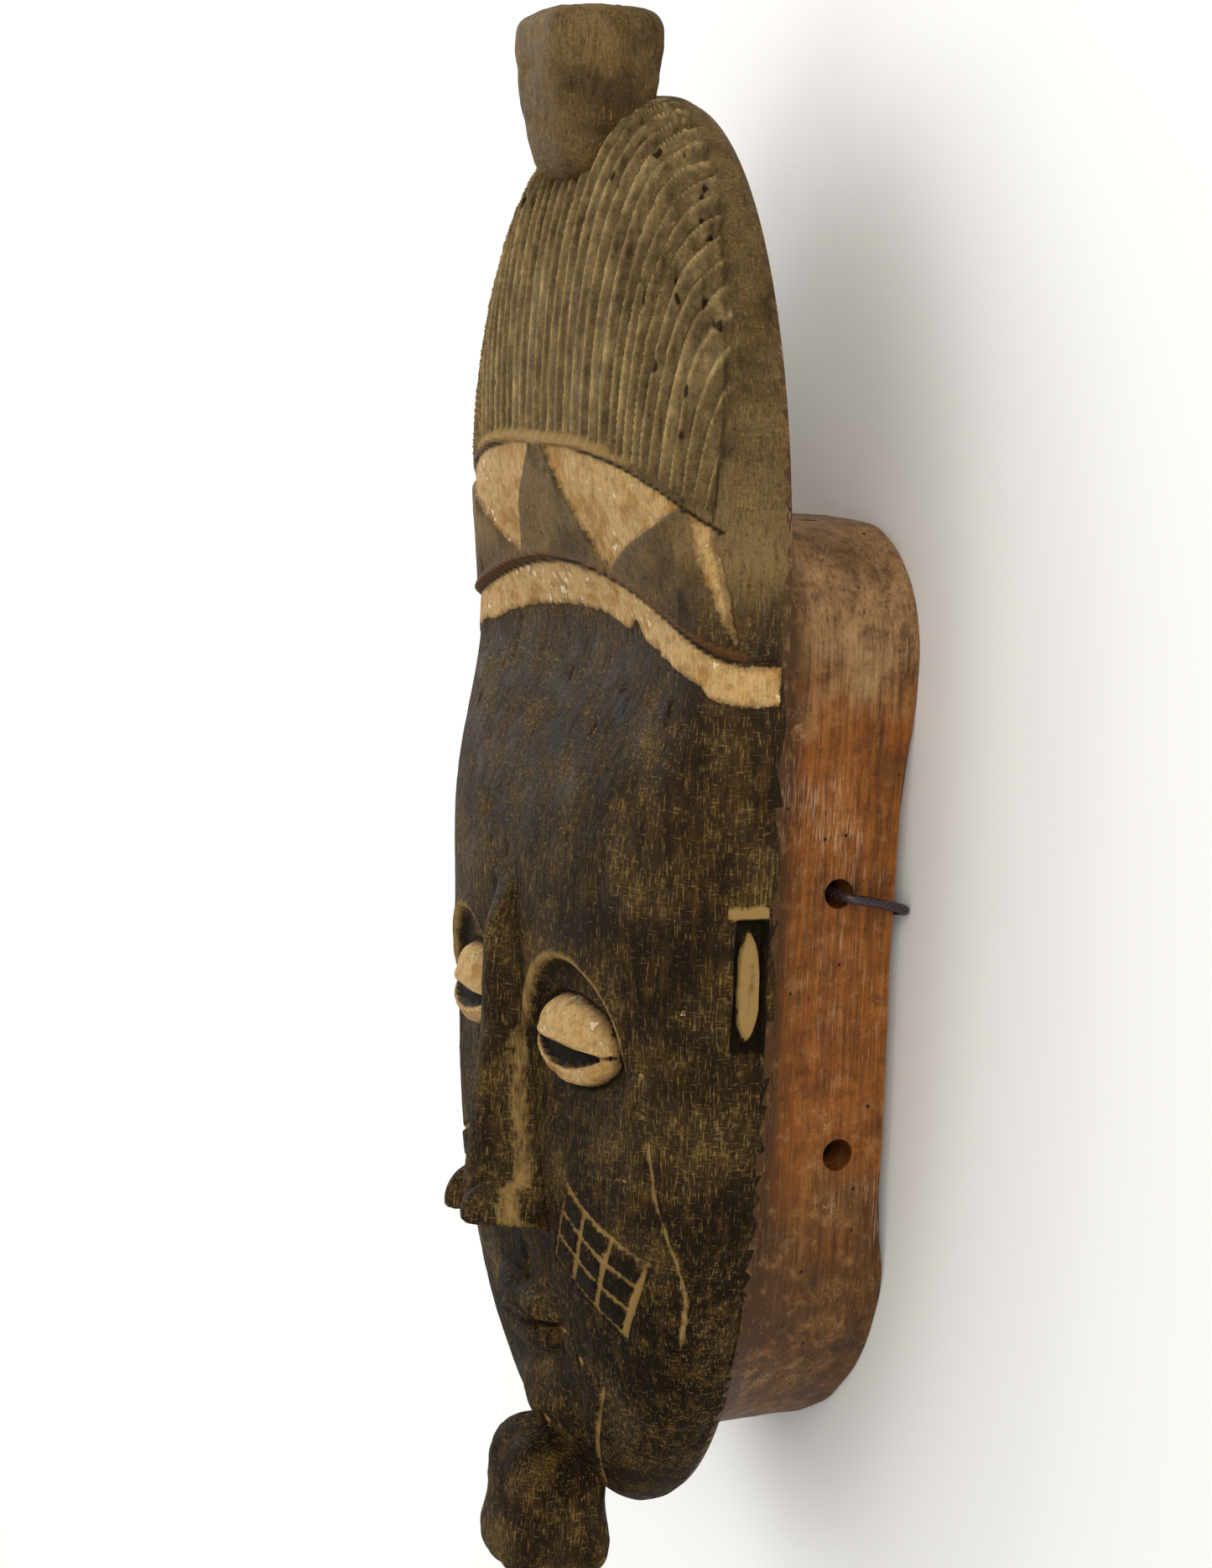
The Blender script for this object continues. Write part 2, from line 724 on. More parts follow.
@dataclass
class HeadForm:
    """The head's half shell: plan outline, rise over its flat back, and the hair band's two lines."""

    top: float = 180.0
    chin: float = -178.0
    widest: float = 60.0
    half_width: float = 79.0
    rise: float = 31.0
    flange_z: float = 42.0
    section_power: float = 2.8
    # Middle, length and size of the hollow at the hairline and of the swell of the forehead
    hairline: tuple[float, float, float] = (48.0, 27.0, 15.0)
    forehead: tuple[float, float, float] = (-8.0, 40.0, 4.0)
    # Height of the band's two lines on the midline, how far they fall at its side, and the fall's power
    arch: tuple[float, float, float] = (96.3, 13.6, 3)
    ridge: tuple[float, float, float] = (67.6, 14, 1.9)
    band_side: float = 70

    def along(self, y: np.ndarray) -> np.ndarray:
        """Share of the way from the widest place to the nearer end."""
        return np.where(y > self.widest, (y - self.widest) / (self.top - self.widest),
                        (self.widest - y) / (self.widest - self.chin))

    def width_at(self, y: np.ndarray) -> np.ndarray:
        """Half width of the plan at y."""
        t = self.along(y)
        return self.half_width * np.where(y > self.widest, rounded(t, 2, 2.35), rounded(t, 4, 2.2))

    def rise_at(self, y: np.ndarray, frontness: np.ndarray) -> np.ndarray:
        """Rise of the section's middle over the flange plane.

        Args:
            y: Places along the head.
            frontness: 1 on the midline, falling to 0 at the sides.

        Returns:
            The rise, with the hollow at the hairline and the swell of the forehead.
        """
        t = self.along(y)
        rise = self.rise * np.where(y > self.widest, rounded(t, 4, 2.4), rounded(t, 4.5, 2))
        hollow = self.hairline[2] * bell(y - self.hairline[0], self.hairline[1])
        swell = self.forehead[2] * bell(y - self.forehead[0], self.forehead[1])
        return rise + frontness * (swell - hollow)

    def line_at(self, line: tuple[float, float, float], side: np.ndarray | float) -> np.ndarray | float:
        """Height of one of the hair band's lines at a distance from the midline."""
        middle, fall, power = line
        return middle - fall * (side / self.band_side) ** power

    def section(self, columns: int) -> tuple[np.ndarray, np.ndarray]:
        """A unit cross-section cut in equal steps of its real length.

        Args:
            columns: Number of points.

        Returns:
            The points' shares of the half width and of the rise.
        """
        turn = np.linspace(-math.pi / 2, math.pi / 2, 20001)
        bend = 2 / self.section_power
        across = np.sign(np.sin(turn)) * np.abs(np.sin(turn)) ** bend
        up = np.abs(np.cos(turn)) ** bend
        length = running(np.hypot(np.diff(across * self.half_width), np.diff(up * self.rise)))
        even = np.linspace(0, length[-1], columns)
        return np.interp(even, length, across), np.clip(np.interp(even, length, up), 0, 1)

    def rows(self, count: int) -> np.ndarray:
        """Places along the head, in equal steps of the plan's outline."""
        y = np.linspace(self.chin, self.top, 20001)
        length = running(np.hypot(np.diff(y), 0.7 * np.diff(self.width_at(y))))
        return np.interp(np.linspace(0, length[-1], count), length, y)


@dataclass
class Relief:
    """Depth and paint of everything carved on the head, worked out together for all its points."""

    form: HeadForm
    x: np.ndarray
    y: np.ndarray
    z: np.ndarray
    arc: np.ndarray
    depth: np.ndarray = field(init=False)
    layers: dict[Paint, np.ndarray] = field(init=False)
    side: np.ndarray = field(init=False)
    points: np.ndarray = field(init=False)
    arch: np.ndarray = field(init=False)
    ridge: np.ndarray = field(init=False)
    fray: np.ndarray = field(init=False)
    margin: np.ndarray = field(init=False)

    def __post_init__(self) -> None:
        """Starts with a plain surface, and works out what several carvings share."""
        self.depth = np.zeros_like(self.x)
        self.layers = {kind: np.full_like(self.x, UNPAINTED[kind]) for kind in Paint}
        self.side = np.abs(self.x)
        self.points = np.stack([self.x, self.y, self.z], axis=1)
        self.arch = self.form.line_at(self.form.arch, self.side)
        self.ridge = self.form.line_at(self.form.ridge, self.side)
        self.fray = noise(self.points, (9, 9, 9), 3) + 0.6 * noise(self.points, (3.5, 3.5, 3.5), 4)
        # The plain margin round the hair is highest beside the band and sinks towards both ends
        highest_at, highest, lowest = 77, 16, 3.0
        sink = np.where(self.y > highest_at, 0.12 * (self.y - highest_at), 0.21 * (highest_at - self.y))
        self.margin = self.z - self.form.flange_z - np.maximum(highest - sink, lowest)

    def cover(self, kind: Paint, value: np.ndarray) -> None:
        """Adds paint where the value is higher than what is there."""
        self.layers[kind] = np.maximum(self.layers[kind], value)

    def comb_hair(self, arc_at_arch: np.ndarray) -> None:
        """Cuts the combed grooves, close at the sides and wider in front, up to the plain margin.

        Args:
            arc_at_arch: Distance round the section of the groove through each point, at the arched line.
        """
        reach = np.abs(arc_at_arch)
        front_pitch, side_pitch, change_at = 4.6, 3.2, 42.0
        front = np.minimum(reach, change_at) / front_pitch
        turn = np.sign(arc_at_arch) * (front + np.maximum(reach - change_at, 0) / side_pitch)
        wander = noise(self.points, (14, 40, 14), 11) * 0.16 + noise(self.points, (5, 18, 5), 12) * 0.07
        turn = turn + wander * (0.5 + smooth(reach - 30, 30))
        ridge_share = np.abs(turn - np.floor(turn) - 0.5) * 2
        each = np.floor(turn)
        strength = 0.9 + 0.2 * np.sin(each * 2.4) + 0.4 * noise(self.points, (6, 22, 6), 13)
        valley = (1 - ridge_share**2.6) * np.clip(strength, 0.25, 1.4)
        zone = np.minimum(self.y - self.arch - 1.5, self.margin * 1.2 + 1.6 * self.fray)
        inside = smooth(zone, 2.0)
        cut = 1.2 + 0.9 * smooth(reach - 35, 30) + 0.6 * smooth(self.y - 140, 30)
        pits = np.clip(noise(self.points, (1.5, 5, 1.5), 14) - 0.5, 0, 1) * 2.2
        pits = pits * smooth(reach + self.y - 155, 70)
        self.depth -= inside * (cut * valley + 0.9 * pits)
        self.layers[Paint.CREST] = np.where(inside > 0.5, np.clip(1 - 2 * valley, 0, 1), 0.0)
        self.layers[Paint.HAIR] = np.clip(zone, -FAR, FAR)
        self.cover(Paint.DARK, inside * np.clip(pits * 1.1, 0, 1))

    def carve_band(self) -> None:
        """Carves the zigzag band: sunk pale triangles, the arched bead, the ridge and the hairline strip."""
        x, y, form = self.side, self.y, self.form
        apex = (28.0, form.line_at(form.ridge, 28.0) + 1.2)
        inner_corner, outer_corner = (3.8, 96.2), (68.0, form.line_at(form.arch, 68.0))
        end_top, end_foot = (66.3, 85.0), (71.8, 69.0)
        under_arch = self.arch - y - 0.6
        large = np.minimum(under_arch, -self.beside(inner_corner, apex))
        large = np.minimum(large, self.beside(outer_corner, apex))
        end = np.minimum(under_arch, -self.beside(end_top, end_foot))
        end = np.minimum(end, self.margin + 0.6)
        pale = np.maximum(large, end) + 0.35 * self.fray
        self.depth -= 1.25 * smooth(pale, 1.1)
        self.cover(Paint.PALE, np.clip(pale, -FAR, FAR))

        in_head = smooth(self.margin + 2.5, 2.0)
        bead = bell(y - self.arch - 0.9, 1.7) * smooth(46 - x, 30)
        self.depth += 0.6 * bead
        self.cover(Paint.RUBBED, bead * (1.15 + 0.2 * self.fray))
        self.depth -= 0.8 * bell(y - self.arch - 0.3, 0.9) * smooth(x - 42, 14) * in_head
        self.cover(Paint.DARK, 0.75 * bell(y - self.arch + 1.1, 0.7) * smooth(x - 20, 20) * in_head)

        self.depth -= 1.5 * smooth(self.ridge - y, 1.6) * bell(np.minimum(y - self.ridge, 0), 26)
        ridge = bell(y - self.ridge - 0.3, 1.2) * in_head
        self.depth += 0.95 * ridge
        self.cover(Paint.RUST, ridge * 1.1)
        self.cover(Paint.DARK, 0.7 * bell(y - self.ridge + 1.6, 0.6) * in_head)

        low = self.ridge - 12.0 + 2.2 * (x / form.band_side) ** 3 - 1.8 * smooth(x - 72, 3) + 0.6 * self.fray
        low = low + 3.2 * bell(x - 36, 3.0) * (self.x > 0)
        strip = np.minimum(self.ridge - 1.6 - y, y - low)
        self.depth += 0.55 * smooth(strip, 1.0)
        self.cover(Paint.PALE, np.clip(strip, -FAR, FAR))
        self.cover(Paint.DARK, 0.2 * bell(y - low + 0.5, 0.8))
        beside_strip = bell(self.margin - 0.5, 0.8) * smooth(y - self.ridge - 1, 2) * smooth(150 - y, 20)
        self.depth -= 0.5 * beside_strip
        self.cover(Paint.DARK, 0.35 * beside_strip)

    def beside(self, start: tuple[float, float], end: tuple[float, float]) -> np.ndarray:
        """Distance in the plan from the line through two points, positive on its right-hand side."""
        run = np.array(end) - np.array(start)
        length = math.hypot(*run)
        return ((self.side - start[0]) * -run[1] + (self.y - start[1]) * run[0]) / -length

    def carve_eyes(self, brow_y: float, third: float) -> None:
        """Carves brows, sockets, closed lids and their slits.

        Args:
            brow_y: Height of the brow line.
            third: A third of the face's length.
        """
        across = np.abs(self.arc) - 33.0
        eye_y = brow_y - third * 0.3
        up = self.y - eye_y
        far = np.hypot(across, up + 3)
        over = smooth(up + 6, 14)
        brow_radius = 23.0
        self.depth -= 3.4 * smooth(brow_radius - far, 9) * (0.35 + 0.65 * over)
        brow = bell(far - brow_radius - 1.6, 1.9) * smooth(up + 2, 12)
        self.depth += 1.7 * brow
        self.cover(Paint.RUBBED, 0.75 * bell(far - brow_radius - 1.2, 1.3) * smooth(up + 2, 12))
        self.cover(Paint.DARK, 0.5 * bell(far - brow_radius + 1.4, 1.2) * over)

        half_length, half_height = 18.5, 10.6
        lid_share = np.hypot(across / half_length, up / half_height)
        lid = np.sqrt(np.clip(1 - lid_share**2.2, 0, 1))
        inside = smooth(1 - lid_share, 0.08)
        self.depth += 6.2 * lid
        self.depth -= 0.9 * bell((lid_share - 1.03) * 12, 1.0)
        self.cover(Paint.DARK, 0.65 * bell((lid_share - 1.06) * 12, 1.0))
        self.cover(Paint.PALE, np.where(lid_share < 1.2, (1 - lid_share) * 14 + 0.7 * self.fray, -FAR))

        slit_half = 15.5
        sag = -2.6 + 1.6 * (across / slit_half) ** 2
        gape = 2.5 * np.clip(1 - (across / slit_half) ** 2, 0, 1)
        opening = gape - np.abs(up - sag)
        self.depth -= inside * 2.0 * smooth(opening, 1.0)
        rim = bell(opening + 1.3, 0.8) * inside * smooth(slit_half + 1 - np.abs(across), 3)
        self.depth += 0.55 * rim
        self.cover(Paint.DARK, inside * smooth(opening + 0.3, 1.2))
        in_slit = smooth(opening, 0.8) * inside
        self.layers[Paint.PALE] = np.where(in_slit > 0.4, -3.0, self.layers[Paint.PALE])

    def carve_nose(self, brow_y: float, base_y: float) -> None:
        """Raises the nose with its wings and sinks the nostrils.

        Args:
            brow_y: Height of the nose's root.
            base_y: Height of its base.
        """
        share = np.clip((brow_y + 4 - self.y) / (brow_y + 4 - base_y), 0, 1)
        half = 5.0 + 8.0 * share**1.6
        height = 5.5 + 11.5 * share**1.15
        across = np.abs(self.arc) / (half * 1.3)
        bridge = height * np.clip(1 - across**2.2, 0, 1) ** 0.9
        span = smooth(self.y - base_y - 1.2, 4.5) * smooth(brow_y + 6 - self.y, 16)
        self.depth += bridge * span
        wing = np.hypot((np.abs(self.arc) - 9.6) / 6.6, (self.y - base_y - 6.2) / 6.8)
        self.depth += 5.6 * np.sqrt(np.clip(1 - wing**2, 0, 1)) * smooth(self.y - base_y - 0.6, 3.0)
        pit = np.hypot((np.abs(self.arc) - 5.4) / 3.0, (self.y - base_y - 1.4) / 1.7)
        self.depth -= 3.0 * np.clip(1 - pit**2, 0, 1)
        self.cover(Paint.DARK, smooth(1.1 - pit, 0.5))
        edge = bell(np.abs(self.arc) - half * 1.12, 1.5) * span * smooth(share - 0.3, 0.5)
        self.cover(Paint.RUBBED, edge * (0.6 + 0.2 * self.fray))
        self.cover(Paint.DARK, 0.5 * bell(np.abs(self.arc) - half * 1.3 - 0.6, 0.9) * span)

    def carve_mouth(self, mouth_y: float, chin_y: float) -> None:
        """Raises closed lips and the ball of the chin.

        Args:
            mouth_y: Height of the line between the lips.
            chin_y: Height of the chin's middle.
        """
        half = 21.0
        across = self.arc / half
        bend = 1.2 * across**2
        up = self.y - mouth_y - bend
        body = np.clip(1 - np.abs(across) ** 2.4, 0, 1)
        bow = 1 - 0.22 * bell(self.arc, 4.0)
        upper = np.hypot(across, (up - 3.4) / (5.4 * bow))
        lower = np.hypot(across * 1.08, (up + 4.0) / 5.6)
        self.depth += 5.0 * np.sqrt(np.clip(1 - upper**2, 0, 1)) * body**0.3
        self.depth += 5.2 * np.sqrt(np.clip(1 - lower**2, 0, 1)) * body**0.3
        line = bell(up, 0.75) * smooth(half - 1 - np.abs(self.arc), 3)
        self.depth -= 1.8 * line
        self.cover(Paint.DARK, 0.95 * line)
        self.depth -= 1.0 * bell(self.arc, 3.2) * smooth(up - 8, 4) * smooth(18 - up, 6)
        self.depth += 5.0 * bell(np.hypot(self.arc / 17, (self.y - chin_y) / 12), 0.9)
        self.depth -= 1.4 * bell(self.arc, 13) * bell(up + 12.5, 3.0)
        self.depth += 1.8 * bell(np.hypot((np.abs(self.arc) - 42) / 20, (self.y - mouth_y - 42) / 26), 1.0)

    def carve_cheek_marks(self) -> None:
        """Cuts the netted lozenge on each cheek."""
        centre, right, down = (41.0, -101.0), (19.5, 4.5), (10.0, -16.0)
        first = ((right[0] + down[0]) / 2, (right[1] + down[1]) / 2)
        second = ((down[0] - right[0]) / 2, (down[1] - right[1]) / 2)
        solve = np.linalg.inv(np.array([[first[0], second[0]], [first[1], second[1]]]))
        offset = np.stack([self.side - centre[0], self.y - centre[1]])
        p, q = solve @ offset
        cells = 3
        size = math.hypot(*first)
        inside = (1 - np.maximum(np.abs(p), np.abs(q))) * size
        turns = [(way + 1) / 2 * cells for way in (p, q)]
        line = np.minimum(*(np.abs(turn - np.round(turn)) * 2 / cells * size for turn in turns))
        groove = smooth(0.8 + 0.2 * self.fray - line, 0.9) * smooth(inside + 1.1, 0.8)
        self.depth -= 1.1 * groove
        self.depth += 0.5 * smooth(inside, 1.0)
        self.cover(Paint.RUBBED, groove * (0.95 + 0.25 * self.fray))
        self.cover(Paint.DARK, 0.5 * smooth(line - 1.3, 0.8) * smooth(inside, 1.0))

    def carve_ears(self) -> None:
        """Sinks a box at each side with a leaf-shaped ear left standing in it."""
        up, height = self.y + 26, self.z - self.form.flange_z
        box = np.minimum(15.5 - np.abs(up), np.minimum(height - 0.9, 8.2 - height))
        self.depth -= 2.8 * smooth(box, 1.2)
        self.cover(Paint.DARK, 0.7 * smooth(box + 0.5 + 0.6 * self.fray, 1.2))
        lobe = 1 - np.hypot(up / 12.5, (height - 4.6) / 3.0) + 0.08 * self.fray
        self.depth += 2.2 * smooth(lobe, 0.3)
        self.layers[Paint.DARK] = np.where(lobe > 0.02, 0.0, self.layers[Paint.DARK])
        self.cover(Paint.RUBBED, np.where(lobe > -0.05, 0.85 + 0.3 * self.fray, 0))
        self.cover(Paint.PALE, np.where(lobe > 0.35, 3 * (lobe - 0.75) + 0.8 * self.fray, -FAR))
        top_chip = np.minimum(1.6 - np.abs(self.y + 8.6), np.minimum(height - 0.5, 10.5 - height))
        self.depth += 0.3 * smooth(top_chip, 0.8)
        self.cover(Paint.RUBBED, np.where(self.x > 0, smooth(top_chip, 1.2) * (1.0 + 0.3 * self.fray), 0))

    def age(self) -> None:
        """Adds cracks, knocks, the knife's facets and the wood's unevenness."""
        crack_x = 65.0 + 2.2 * np.sin(self.y / 9) + 0.5 * self.fray
        crack = bell(self.x - crack_x, 0.5) * smooth(self.y + 117, 6) * smooth(-66 - self.y, 6)
        self.depth -= 0.5 * crack
        self.cover(Paint.RUBBED, 0.65 * crack)
        split = bell(self.x - (36.0 - 0.58 * (-139 - self.y)), 1.0) * smooth(-136 - self.y, 5)
        split = split * smooth(self.y + 170, 6)
        self.depth -= 1.1 * split
        self.cover(Paint.RUBBED, split * (0.8 + 0.3 * self.fray))
        on_face = smooth(self.ridge - 11 - self.y, 4)
        self.depth += 0.35 * on_face * noise(self.points, (11, 17, 11), 21)
        swell = 0.28 * noise(self.points, (30, 44, 30), 22)
        ripple = 0.10 * noise(self.points, (1.9, 6.5, 1.9), 23)
        fibre = 0.06 * noise(self.points, (0.9, 2.6, 0.9), 24)
        for unevenness in (swell, ripple, fibre):
            self.depth += unevenness
        knocks = np.clip(noise(self.points, (5.5, 5.5, 5.5), 25) - 0.72, 0, 1) * 3.0
        self.depth -= knocks * 1.1
        self.cover(Paint.PALE, np.where(knocks > 0.25, knocks * 2 - 1.1, -FAR))


@dataclass(frozen=True)
class Knob:
    """A rounded block left standing past one end of the head."""

    name: str
    half: tuple[float, float, float]
    middle_z: float
    # 1 at the top of the head, -1 at the chin
    end: int
    # 2 is an ellipsoid, more is boxier
    squareness: float
    # Share by which it narrows towards +Y, or towards -Y when negative
    taper: float
    seed: int


@dataclass
class CarvedBody:
    """Head, bun, chin knob and collar, carved from one block, with its hollow and its cord holes."""

    form: HeadForm = field(default_factory=HeadForm)
    columns: int = 441
    rows: int = 461
    edge_thickness: float = 2.4
    edge_undercut: tuple[float, float, float] = (0.988, 0.994, 1.0)
    most_triangles: int = 188000
    face_top: float = 52.0
    knobs: tuple[Knob, ...] = (
        Knob("bun", (19.5, 20.5, 16.5), 60.0, 1, 4.8, -0.16, 31),
        Knob("chin_knob", (19.0, 21.0, 16.5), 62.0, -1, 3.6, 0.12, 37),
    )
    half_length: float = 200.0
    collar_top: float = 79.5
    collar_bottom: float = -160.0
    top_half_width: float = 69.5
    bottom_half_width: float = 66.0
    top_radius: float = 30.0
    bottom_radius: float = 65.9
    wall: float = 10.5
    cove_from: float = 24.0
    cove_overhang: float = 5.4
    relief_top: float = 40.0
    relief_bottom: float = -112.0
    relief_slope: float = 26.0
    relief_height: float = 3.2
    # Each hole's place along its wall, height and radius
    side_holes: tuple[tuple[float, float, float], ...] = ((-7.5, 18.3, 3.65), (-72.3, 15.3, 4.0))
    top_hole: tuple[float, float, float] = (36.0, 15.0, 3.6)

    def build(self) -> bpy.types.Object:
        """Models the whole body.

        Returns:
            The finished mesh object, standing for the CAD body.
        """
        body = self.head()
        for knob in self.knobs:
            combine(body, self.block(knob), "UNION")
        combine(body, self.collar(), "UNION")
        for cutter in (self.inner_block(), self.face_hollow(), *self.hole_cutters()):
            combine(body, cutter, "DIFFERENCE")
        share = self.most_triangles / triangle_count(body)
        if share < 1:
            apply_modifier(body, "DECIMATE", ratio=share)
        body.name = "carved_mask"
        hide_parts("mask_body")
        self.dress(body)
        finish_piece(body, 42)
        return body

    def head(self) -> bpy.types.Object:
        """Models the head's shell with all its carving.

        Returns:
            A closed mesh.
        """
        across, up = self.form.section(self.columns)
        y = self.form.rows(self.rows)
        frontness = np.clip(1 - np.abs(across) ** self.form.section_power, 0, 1)
        widths = self.form.width_at(y)
        x_grid = np.outer(widths, across)
        y_grid = np.outer(y, np.ones(self.columns))
        rise = self.form.rise_at(y_grid, np.outer(np.ones(self.rows), frontness))
        z_grid = self.form.flange_z + rise * up
        grid = np.stack([x_grid, y_grid, z_grid], axis=2)
        steps = np.linalg.norm(np.diff(grid, axis=1), axis=2)
        arc = np.concatenate([np.zeros((self.rows, 1)), np.cumsum(steps, axis=1)], axis=1)
        arc -= arc[:, self.columns // 2][:, None]

        relief = Relief(self.form, x_grid.ravel(), y_grid.ravel(), z_grid.ravel(), arc.ravel())
        third = (self.face_top - self.form.chin) / 3
        brow_y = self.face_top - third
        base_y = brow_y - third
        relief.comb_hair(self.comb_lines(across, relief).ravel())
        relief.carve_band()
        relief.carve_eyes(brow_y, third)
        relief.carve_nose(brow_y, base_y)
        relief.carve_mouth(base_y - third / 3, self.form.chin + third / 3.2)
        relief.carve_cheek_marks()
        relief.carve_ears()
        relief.age()

        out = self.outward(grid).reshape(-1, 3)
        ends = smooth(np.minimum(y_grid - y[0], y[-1] - y_grid).ravel() - 2, 4)
        at_edge = smooth(relief.z - self.form.flange_z - 0.7, 1.4)
        points = grid.reshape(-1, 3) + out * (relief.depth * ends * at_edge)[:, None]

        deselect_all()
        bpy.ops.mesh.primitive_grid_add(x_subdivisions=self.columns - 1, y_subdivisions=self.rows - 1, size=2)
        head = added("head_shell")
        set_points(head, points)
        paint(head, relief.layers)
        edit_all(head)
        bpy.ops.mesh.remove_doubles(threshold=1e-6)
        bpy.ops.mesh.select_all(action="DESELECT")
        bpy.ops.mesh.select_non_manifold()
        drop = (0, 0, -self.edge_thickness * MM)
        bpy.ops.mesh.extrude_region_move(TRANSFORM_OT_translate={"value": drop})
        bpy.ops.transform.resize(value=self.edge_undercut, center_override=(0, 0, 0))
        bpy.ops.mesh.edge_face_add()
        close_outwards()
        return head

    def comb_lines(self, across: np.ndarray, relief: Relief) -> np.ndarray:
        """Finds, for each point, how far round the head its groove starts at the arched line.

        Args:
            across: The section's shares of the half width.
            relief: The points.

        Returns:
            A signed distance for each point.
        """
        start_y = 88.0
        spread = 1 + 0.11 * np.clip((relief.y - relief.arch) / 80, 0, 1.3)
        start = relief.x / spread
        width = across * self.form.width_at(np.full(1, start_y))[0]
        rise = self.form.rise_at(np.full(self.columns, start_y), np.ones(self.columns))
        up = rounded(across, self.form.section_power, self.form.section_power) * rise
        length = running(np.hypot(np.diff(width), np.diff(up)))
        length -= length[self.columns // 2]
        return np.interp(start, width, length)

    def outward(self, grid: np.ndarray) -> np.ndarray:
        """Unit directions out of the shell for a grid of points."""
        by_row = np.gradient(grid, axis=0)
        by_column = np.gradient(grid, axis=1)
        out = np.cross(by_column, by_row)
        length = np.linalg.norm(out, axis=2, keepdims=True)
        return np.where(length > 1e-9, out / np.maximum(length, 1e-9), 0.0)

    def block(self, knob: Knob) -> bpy.types.Object:
        """Models a rounded block with knife facets.

        Args:
            knob: Its sizes and place.

        Returns:
            A closed mesh.
        """
        deselect_all()
        bpy.ops.mesh.primitive_cube_add(size=2)
        block = added(knob.name)
        edit_all(block)
        bpy.ops.mesh.subdivide(number_cuts=46)
        bpy.ops.object.mode_set(mode="OBJECT")
        unit = points_of(block) * MM
        out = unit / np.linalg.norm(unit, axis=1, keepdims=True)
        size = (np.abs(out) ** knob.squareness).sum(axis=1) ** (1 / knob.squareness)
        points = out / size[:, None] * np.array(knob.half)
        along = points[:, 1:2] / knob.half[1]
        points[:, [0, 2]] *= 1 - abs(knob.taper) + np.clip(-knob.taper * along, -1, 1)
        facets = noise(points + 40, (13, 13, 13), knob.seed)
        facets = facets + noise(points, (4.5, 6, 4.5), knob.seed + 1) * 0.3
        grit = noise(points, (1.4, 3.4, 1.4), knob.seed + 2) * 0.16
        knocks = np.clip(noise(points, (6, 6, 6), knob.seed + 3) - 0.55, 0, 1) * 2.4
        points = points + out * (np.minimum(facets, 0.4) + grit - knocks)[:, None] - out * 0.5
        centre = (0.0, knob.end * (self.half_length - knob.half[1]), knob.middle_z)
        set_points(block, points + np.array(centre))
        paint(block, {Paint.DARK: np.clip(knocks * 0.5, 0, 0.6), Paint.PALE: knocks * 1.4 - 2.4})
        return block

    def outline(self, inset: float, count: int) -> np.ndarray:
        """Points round the collar.

        Args:
            inset: How far inside the collar's outer face.
            count: Number of points.

        Returns:
            Rows of x and y, counter-clockwise.
        """
        top, bottom = self.collar_top - inset, self.collar_bottom + inset
        corners = []
        for sign_x, half, end, radius, start in (
            (1, self.top_half_width, top, self.top_radius, 0.0),
            (-1, self.top_half_width, top, self.top_radius, 0.5),
            (-1, self.bottom_half_width, bottom, self.bottom_radius, 1.0),
            (1, self.bottom_half_width, bottom, self.bottom_radius, 1.5),
        ):
            bend = radius - inset
            centre_x = sign_x * (half - inset - bend)
            centre_y = end - bend if end > 0 else end + bend
            turn = np.linspace(start, start + 0.5, 60) * math.pi
            corners.append(np.stack([centre_x + bend * np.cos(turn), centre_y + bend * np.sin(turn)], axis=1))
        return evenly(np.concatenate(corners + [corners[0][:1]]), count, closed=True)

    def loft(self, name: str, inset: float, levels: np.ndarray, count: int) -> bpy.types.Object:
        """Raises the collar's outline through several levels.

        Args:
            name: The solid's name.
            inset: How far inside the collar's outer face.
            levels: Heights of the rings.
            count: Points round each ring.

        Returns:
            A closed mesh whose vertices run ring by ring.
        """
        deselect_all()
        bpy.ops.mesh.primitive_circle_add(vertices=count, radius=1, fill_type="NGON")
        solid = added(name)
        ring = self.outline(inset, count)
        set_points(solid, np.column_stack([ring, np.full(count, levels[0])]))
        edit_all(solid, "FACE")
        for rise in np.diff(levels):
            bpy.ops.mesh.extrude_region_move(TRANSFORM_OT_translate={"value": (0, 0, rise * MM)})
        close_outwards()
        return solid

    def collar(self) -> bpy.types.Object:
        """Models the collar, waisted, with a cove under the head and its rim hollowed for the cord."""
        levels = np.concatenate([[0.0, 0.7], np.linspace(2.5, self.form.flange_z - 0.6, 26)])
        solid = self.loft("collar", 0.0, levels, 420)
        points = points_of(solid)
        x, y, z = points.T
        middle = (self.collar_top + self.collar_bottom) / 2
        reach = (self.collar_top - self.collar_bottom) / 2
        lift = np.clip((z - self.cove_from) / (self.form.flange_z - self.cove_from), 0, 1)
        grow = self.cove_overhang * lift**2.2 - 1.1 * bell(y + 14, 34) * (1 - lift)
        edge = 0.9 * bell(z, 0.8)
        grow = grow - edge + 0.45 * noise(points, (24, 30, 14), 51) + 0.22 * noise(points, (8, 12, 8), 52)
        grow = grow + 0.09 * noise(points, (2.6, 8, 2.6), 53) - 0.25
        x = x * (1 + grow / self.top_half_width)
        y = middle + (y - middle) * (1 + grow / reach)
        set_points(solid, np.stack([x, y, np.maximum(z, self.rim_at(y) * (z < 6))], axis=1))
        paint(solid, {})
        return solid

    def rim_at(self, y: np.ndarray) -> np.ndarray:
        """Height of the hollowed rim at y."""
        down = (self.relief_top - y) / self.relief_slope
        up = (y - self.relief_bottom) / self.relief_slope
        return self.relief_height * ease(np.clip(np.minimum(down, up), 0, 1))

